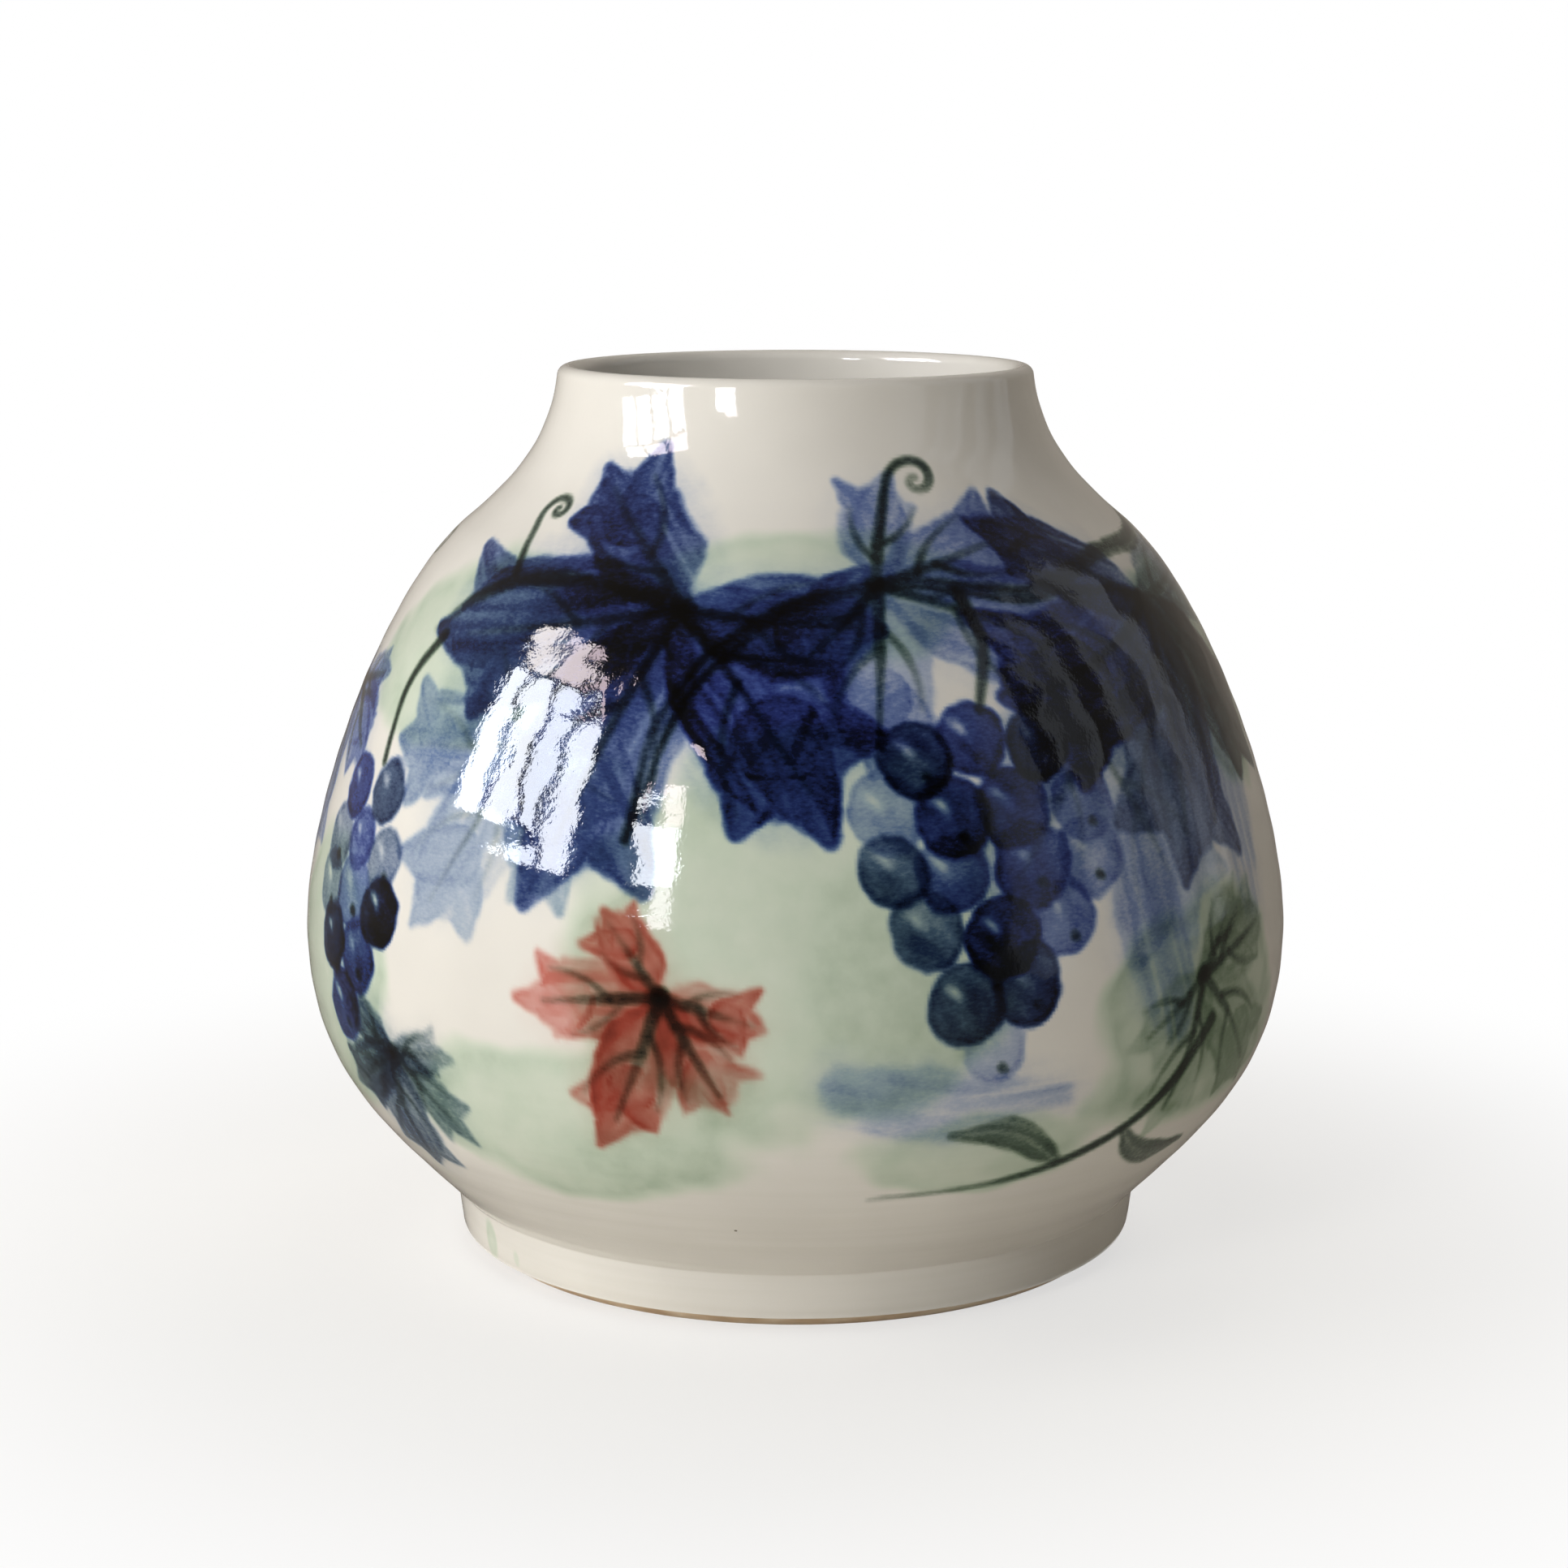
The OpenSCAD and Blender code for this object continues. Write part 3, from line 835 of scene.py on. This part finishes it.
def painted_porcelain():
    """Porcelain with brushed pigments under a clear, glossy feldspar glaze.

    Blue and black are grainy, green and red lie more even, and all are cloudy where they pooled. Faint
    turning lines show low on the jar. The glaze has a faint peel, ripples most over thick colour, and holds a
    few iron specks. Real grains are under a tenth of a millimetre wide: they are drawn coarser, to show.
    """
    made, tree, coords = new_material("painted_porcelain_glaze")
    fine_rings = add(tree, "Mapping", {"Scale": (0.45, 0.45, 1.0)}, {"Vector": coords})
    grain = add(tree, "TexNoise", {"Scale": per(0.8), "Detail": 3.0, "Roughness": 0.6},
                {"Vector": fine_rings.outputs[0]})
    mottle = add(tree, "TexNoise", {"Scale": per(7), "Detail": 4.0}, {"Vector": coords})
    body = add(tree, "TexNoise", {"Scale": per(45), "Detail": 2.0}, {"Vector": coords})
    bare = add(tree, "ValToRGB", {"stops": ((0.3, "#E9E6DF"), (0.7, "#F1EEE7"))},
               {"Fac": body.outputs["Fac"]})
    speck = add(tree, "TexVoronoi", {"Scale": per(15)}, {"Vector": coords})
    chance = add(tree, "SeparateColor", links={"Color": speck.outputs["Color"]})
    size = add(tree, "Math", {"operation": "MULTIPLY_ADD", 1: 0.08, 2: -0.04}, {0: chance.outputs["Red"]})
    dark = add(tree, "Math", {"operation": "LESS_THAN"}, {0: speck.outputs["Distance"], 1: size.outputs[0]})
    colour = add(tree, "Mix", {"data_type": "RGBA", 7: linear("#8A8272")},
                 {0: dark.outputs[0], 6: bare.outputs["Color"]}).outputs[2]
    lines = add(tree, "Mapping", {"Scale": (0.03, 0.03, 1.0)}, {"Vector": coords})
    lines = add(tree, "TexNoise", {"Scale": per(2.4), "Detail": 2.0}, {"Vector": lines.outputs[0]})
    lines = add(tree, "ValToRGB", {"stops": ((0.3, "#FCFCFB"), (0.6, "#FFFFFF"))},
                {"Fac": lines.outputs["Fac"]})
    low = add(tree, "MapRange", {"From Min": 40 * MM, "From Max": 95 * MM, "To Min": 1.0, "To Max": 0.0},
              {"Value": add(tree, "SeparateXYZ", links={0: coords}).outputs["Z"]})
    colour = add(tree, "Mix", {"data_type": "RGBA", "blend_type": "MULTIPLY"},
                 {0: low.outputs[0], 6: colour, 7: lines.outputs["Color"]}).outputs[2]
    grainy = add(tree, "Math", {"operation": "MULTIPLY_ADD", 1: 0.9, 2: 0.55}, {0: grain.outputs["Fac"]})
    cloudy = add(tree, "Math", {"operation": "MULTIPLY_ADD", 1: 0.5, 2: 0.75}, {0: mottle.outputs["Fac"]})
    uneven = add(tree, "Math", {"operation": "MULTIPLY"}, {0: grainy.outputs[0], 1: cloudy.outputs[0]})
    shares = []
    for name, stops in PIGMENT_COLOURS.items():
        held = add(tree, "Attribute", {"attribute_name": name})
        spread = uneven if name in ("cobalt", "ink") else cloudy
        share = add(tree, "Math", {"operation": "MULTIPLY"}, {0: held.outputs["Fac"], 1: spread.outputs[0]})
        share = add(tree, "Math", {"operation": "MULTIPLY", 1: 1 / PIGMENT_FULL, "use_clamp": True},
                    {0: share.outputs[0]})
        tint = add(tree, "ValToRGB", {"stops": stops}, {"Fac": share.outputs[0]})
        colour = add(tree, "Mix", {"data_type": "RGBA", "blend_type": "MULTIPLY", 0: 1.0},
                     {6: colour, 7: tint.outputs["Color"]}).outputs[2]
        shares.append(share.outputs[0])
    load = add(tree, "Math", {"operation": "ADD", "use_clamp": True, 1: BARE_RIPPLE}, {0: shares[0]})
    for share in shares[1:]:
        load = add(tree, "Math", {"operation": "ADD", "use_clamp": True}, {0: share, 1: load.outputs[0]})
    peel = add(tree, "TexNoise", {"Scale": per(5), "Detail": 1.0}, {"Vector": coords})
    ripple = add(tree, "TexNoise", {"Scale": per(1.3), "Detail": 2.0}, {"Vector": coords})
    thick = add(tree, "Math", {"operation": "MULTIPLY_ADD", 1: 0.75, 2: 0.25}, {0: load.outputs[0]})
    raised = add(tree, "Math", {"operation": "MULTIPLY"}, {0: ripple.outputs["Fac"], 1: thick.outputs[0]})
    soft = add(tree, "Bump", {"Strength": 1.0, "Distance": 0.015 * MM}, {"Height": peel.outputs["Fac"]})
    gritty = add(tree, "Bump", {"Strength": 1.0, "Distance": 0.024 * MM},
                 {"Height": raised.outputs[0], "Normal": soft.outputs[0]})
    rough = add(tree, "Math", {"operation": "MULTIPLY_ADD", 1: 0.02, 2: 0.022}, {0: load.outputs[0]})
    shader = add(tree, "BsdfPrincipled", {"IOR": 1.55},
                 {"Base Color": colour, "Roughness": rough.outputs[0], "Normal": gritty.outputs[0]})
    add(tree, "OutputMaterial", links={"Surface": shader.outputs[0]})
    return made


def plain_porcelain():
    """Porcelain under the same clear glaze, with nothing painted on it: even, glossy and a little warm."""
    made, tree, coords = new_material("clear_porcelain_glaze")
    body = add(tree, "TexNoise", {"Scale": per(35), "Detail": 3.0}, {"Vector": coords})
    colour = add(tree, "ValToRGB", {"stops": ((0.3, "#E6E3DC"), (0.7, "#EFECE6"))},
                 {"Fac": body.outputs["Fac"]})
    peel = add(tree, "TexNoise", {"Scale": per(5), "Detail": 1.0}, {"Vector": coords})
    soft = add(tree, "Bump", {"Strength": 1.0, "Distance": 0.008 * MM}, {"Height": peel.outputs["Fac"]})
    rough = add(tree, "MapRange", {"To Min": 0.05, "To Max": 0.1}, {"Value": body.outputs["Fac"]})
    shader = add(tree, "BsdfPrincipled", {"IOR": 1.53}, {
        "Base Color": colour.outputs["Color"],
        "Roughness": rough.outputs[0],
        "Normal": soft.outputs[0],
    })
    add(tree, "OutputMaterial", links={"Surface": shader.outputs[0]})
    return made


def bare_clay():
    """Fired clay wiped free of glaze: matt, and tan where the kiln flashed it.

    Its grit is finer than half a millimetre: it is drawn coarser, to show.
    """
    made, tree, coords = new_material("bare_fired_clay")
    flash = add(tree, "TexNoise", {"Scale": per(14), "Detail": 4.0}, {"Vector": coords})
    colour = add(tree, "ValToRGB", {"stops": ((0.3, "#B79A78"), (0.5, "#D0B899"), (0.7, "#E2D2BA"))},
                 {"Fac": flash.outputs["Fac"]})
    grit = add(tree, "TexNoise", {"Scale": per(0.5), "Detail": 3.0}, {"Vector": coords})
    rough_face = add(tree, "Bump", {"Strength": 0.6, "Distance": 0.05 * MM}, {"Height": grit.outputs["Fac"]})
    rough = add(tree, "MapRange", {"To Min": 0.7, "To Max": 0.9}, {"Value": grit.outputs["Fac"]})
    shader = add(tree, "BsdfPrincipled", {"IOR": 1.5}, {
        "Base Color": colour.outputs["Color"],
        "Roughness": rough.outputs[0],
        "Normal": rough_face.outputs[0],
    })
    add(tree, "OutputMaterial", links={"Surface": shader.outputs[0]})
    return made


def biscuit(name, light, dark):
    """Fired clay or slip under the glaze: matt, pale and faintly grainy."""
    made, tree, coords = new_material(name)
    grain = add(tree, "TexNoise", {"Scale": per(3), "Detail": 4.0}, {"Vector": coords})
    colour = add(tree, "ValToRGB", {"stops": ((0.3, dark), (0.7, light))}, {"Fac": grain.outputs["Fac"]})
    face = add(tree, "Bump", {"Strength": 0.4, "Distance": 0.04 * MM}, {"Height": grain.outputs["Fac"]})
    rough = add(tree, "MapRange", {"To Min": 0.75, "To Max": 0.9}, {"Value": grain.outputs["Fac"]})
    shader = add(tree, "BsdfPrincipled", {"IOR": 1.5}, {
        "Base Color": colour.outputs["Color"],
        "Roughness": rough.outputs[0],
        "Normal": face.outputs[0],
    })
    add(tree, "OutputMaterial", links={"Surface": shader.outputs[0]})
    return made


def dress(piece, material):
    """Gives a piece one material."""
    piece.data.materials.clear()
    piece.data.materials.append(material)


painted = painted_porcelain()
clear = plain_porcelain()
clay = bare_clay()
thrown_clay = biscuit("biscuit_porcelain", "#E6E1D6", "#D6CFC2")
fired_slip = biscuit("fired_slip", "#DDD6C8", "#CBC2B2")
for piece in coats:
    dress(piece, painted)
dress(lining, clear)
dress(hollow, clear)
dress(foot, clay)
for node in ("base_floor", "lower_belly", "upper_belly", "neck"):
    dress(frame["nodes"][node], thrown_clay)
for node in ("foot_joint_slip", "base_joint_slip", "girth_joint_slip", "neck_joint_slip"):
    dress(frame["nodes"][node], fired_slip)

# Floor, background and light


def seen_directly(tree):
    """1 for rays that come from the camera, a mirror reflection or glass, and 0 for light that spreads."""
    path = add(tree, "LightPath")
    seen = add(tree, "Math", {"operation": "MAXIMUM"},
               {0: path.outputs["Is Camera Ray"], 1: path.outputs["Is Glossy Ray"]})
    seen = add(tree, "Math", {"operation": "MAXIMUM"},
               {0: seen.outputs[0], 1: path.outputs["Is Transmission Ray"]})
    return seen.outputs[0]


def white_floor():
    """Pale matt floor that goes over into the white background, and keeps the jar's shadow."""
    made, tree, coords = new_material("pale_floor")
    far = add(tree, "VectorMath", {"operation": "LENGTH"}, {0: coords})
    away = add(tree, "MapRange", {"From Min": 0.12, "From Max": 0.38, "To Min": 0.65, "To Max": 1.0,
                                  "interpolation_type": "SMOOTHSTEP"}, {"Value": far.outputs["Value"]})
    lit = add(tree, "Math", {"operation": "MULTIPLY"}, {0: away.outputs[0], 1: seen_directly(tree)})
    matt = add(tree, "BsdfDiffuse", {"Color": linear("#EFEBE3")})
    white = add(tree, "Emission")
    shader = add(tree, "MixShader", links={0: lit.outputs[0], 1: matt.outputs[0], 2: white.outputs[0]})
    add(tree, "OutputMaterial", links={"Surface": shader.outputs[0]})
    return made


floor_size = 12
bpy.ops.object.select_all(action="DESELECT")
bpy.ops.mesh.primitive_plane_add(size=floor_size)
floor = bpy.context.object
floor.name = "floor"
dress(floor, white_floor())

# The room lights the jar most from the back left, and is seen as white
bright_side = (-0.75, 0.45, 0.4)
room_rise = 0.16
room_level = 0.138
world = bpy.data.worlds.new("studio")
bpy.context.scene.world = world
world.use_nodes = True
sky = world.node_tree
sky.nodes.clear()
room_side = add(sky, "VectorMath", {"operation": "DOT_PRODUCT", 1: bright_side},
                {0: add(sky, "TexCoord").outputs["Generated"]})
room_light = add(sky, "Math", {"operation": "MULTIPLY_ADD", 1: room_rise, 2: room_level},
                 {0: room_side.outputs["Value"]})
room = add(sky, "Background", {"Color": linear("#FFF5EA")}, {"Strength": room_light.outputs[0]})
white = add(sky, "Background", {"Color": (1, 1, 1, 1), "Strength": 1.0})
both = add(sky, "MixShader", links={0: seen_directly(sky), 1: room.outputs[0], 2: white.outputs[0]})
add(sky, "OutputWorld", links={"Surface": both.outputs[0]})

# Curtain round the studio, and its gap above the floor, in metres
curtain_r = 2.6
curtain_h = 2.6
curtain_gap = 0.005


def dim_curtain():
    """Curtain of the studio that the glaze mirrors: brighter behind the jar, with pale folds to the right."""
    made, tree, coords = new_material("studio_curtain")
    side = add(tree, "VectorMath", {"operation": "DOT_PRODUCT", 1: (-0.3, 0.95, 0)}, {0: coords})
    level = add(tree, "MapRange",
                {"From Min": -curtain_r, "From Max": curtain_r, "To Min": 0.02, "To Max": 0.31},
                {"Value": side.outputs["Value"]})
    cloth = add(tree, "Emission", {"Color": linear("#F2E4D4")}, {"Strength": level.outputs[0]})
    right = add(tree, "SeparateXYZ", links={0: coords})
    pale = add(tree, "MapRange", {"From Min": 1.6, "From Max": 2.45, "interpolation_type": "SMOOTHSTEP"},
               {"Value": right.outputs["X"]})
    upright = add(tree, "Mapping", {"Scale": (1, 1, 0.06)}, {"Vector": coords})
    folds = add(tree, "TexNoise", {"Scale": 2.6, "Detail": 1.0}, {"Vector": upright.outputs[0]})
    folds = add(tree, "MapRange", {"From Min": 0.42, "From Max": 0.6, "To Min": 0.03, "To Max": 0.6},
                {"Value": folds.outputs["Fac"]})
    level = add(tree, "Math", {"operation": "MULTIPLY"}, {0: pale.outputs[0], 1: folds.outputs[0]})
    veil = add(tree, "Emission", {"Color": linear("#DDE6F2")}, {"Strength": level.outputs[0]})
    shader = add(tree, "AddShader", links={0: cloth.outputs[0], 1: veil.outputs[0]})
    add(tree, "OutputMaterial", links={"Surface": shader.outputs[0]})
    return made


bpy.ops.object.select_all(action="DESELECT")
bpy.ops.mesh.primitive_cylinder_add(
    vertices=64, radius=curtain_r, depth=curtain_h, location=(0, 0, curtain_h / 2 + curtain_gap)
)
curtain = bpy.context.object
curtain.name = "curtain"
bpy.ops.object.transform_apply(location=True)
dress(curtain, dim_curtain())
curtain.visible_camera = False
curtain.visible_diffuse = False
curtain.visible_shadow = False


def direction(angle, rise):
    """Unit vector from the jar towards an angle around it and an angle above the floor."""
    a, e = math.radians(angle), math.radians(rise)
    return np.array([math.sin(a) * math.cos(e), -math.cos(a) * math.cos(e), math.sin(e)])


def pane(name, place, angle, size, level, tint):
    """One soft upright pane that faces the jar."""
    bpy.ops.object.light_add(type="AREA", location=place)
    made = bpy.context.object
    made.name = name
    made.rotation_euler = (math.radians(90), 0, math.radians(angle))
    made.data.shape = "RECTANGLE"
    made.data.size, made.data.size_y = size
    made.data.energy = level * size[0] * size[1] * math.pi
    made.data.color = linear(tint)[:3]
    made.visible_camera = False
    return made


def window(name, angle, distance, width, low, high, gap, shine, tints):
    """A window that the glaze mirrors, with the tint of each of its upright panes from left to right."""
    right = direction(angle + 90, 0)
    across = (width - gap * (len(tints) - 1)) / len(tints)
    for column, tint in enumerate(tints):
        place = direction(angle, 0) * distance + right * (-width / 2 + across / 2 + column * (across + gap))
        place = place + np.array([0, 0, (low + high) / 2])
        pane(f"{name}_{column}", place, angle, (across, high - low), shine, tint).visible_diffuse = False


def soft_light(name, angle, distance, width, low, high, spread, tint):
    """A broad lamp that spreads light and doesn't show in the glaze."""
    place = direction(angle, 0) * distance + np.array([0, 0, (low + high) / 2])
    pane(name, place, angle, (width, high - low), spread, tint).visible_glossy = False


# Angles are in degrees and lengths in metres. The soft lamps stand further back than the windows, because a
# lamp in the plane of a pane hides the pane's reflection
window("side_window", -71, 1.5, 0.95, 0.52, 1.12, 0.045, 18.5, ("#F1F6FF", "#F4F8FF", "#EDF3FF", "#F3F7FF"))
window("side_transom", -71, 1.5, 0.95, 1.17, 1.44, 0.05, 14.5, ("#FFF7F2", "#F2E4E8", "#DCC8D0"))
window("front_window", -32, 1.6, 0.26, 0.53, 0.87, 0.0, 17.0, ("#F6FAFF",))
window("front_transom", -29.7, 1.6, 0.14, 0.88, 1.0, 0.0, 14.0, ("#EBD9DF",))
window("front_sill", -29.7, 1.6, 0.14, 0.43, 0.515, 0.0, 11.0, ("#EFE6F0",))
soft_light("side_light", -75, 1.6, 1.08, 0.34, 1.44, 4.1, "#F9F8F8")
soft_light("front_light", -32, 1.65, 0.36, 0.43, 0.96, 19.8, "#FCFCFA")
soft_light("back_fill", 155, 1.9, 1.6, 0.7, 1.9, 3.4, "#FFFCF6")
top_light = pane("top_light", (0, 0, 2.2), 0, (0.8, 0.8), 1.6, "#FFFAF4")
top_light.rotation_euler = (0, 0, 0)
top_light.visible_glossy = False

# Camera, where the picture was taken from. Widths in the picture are in pixels

camera_place = (0, -0.959452, 0.320955)
camera_tilt = 79.036
picture_width = 1932
axis_offset = -14
bpy.ops.object.camera_add(location=camera_place, rotation=(math.radians(camera_tilt), 0, 0))
camera = bpy.context.object
camera.data.sensor_width = 36.0
camera.data.lens = 75.07
camera.data.shift_x = axis_offset / picture_width
bpy.context.scene.camera = camera
bpy.context.scene.view_settings.view_transform = "Standard"
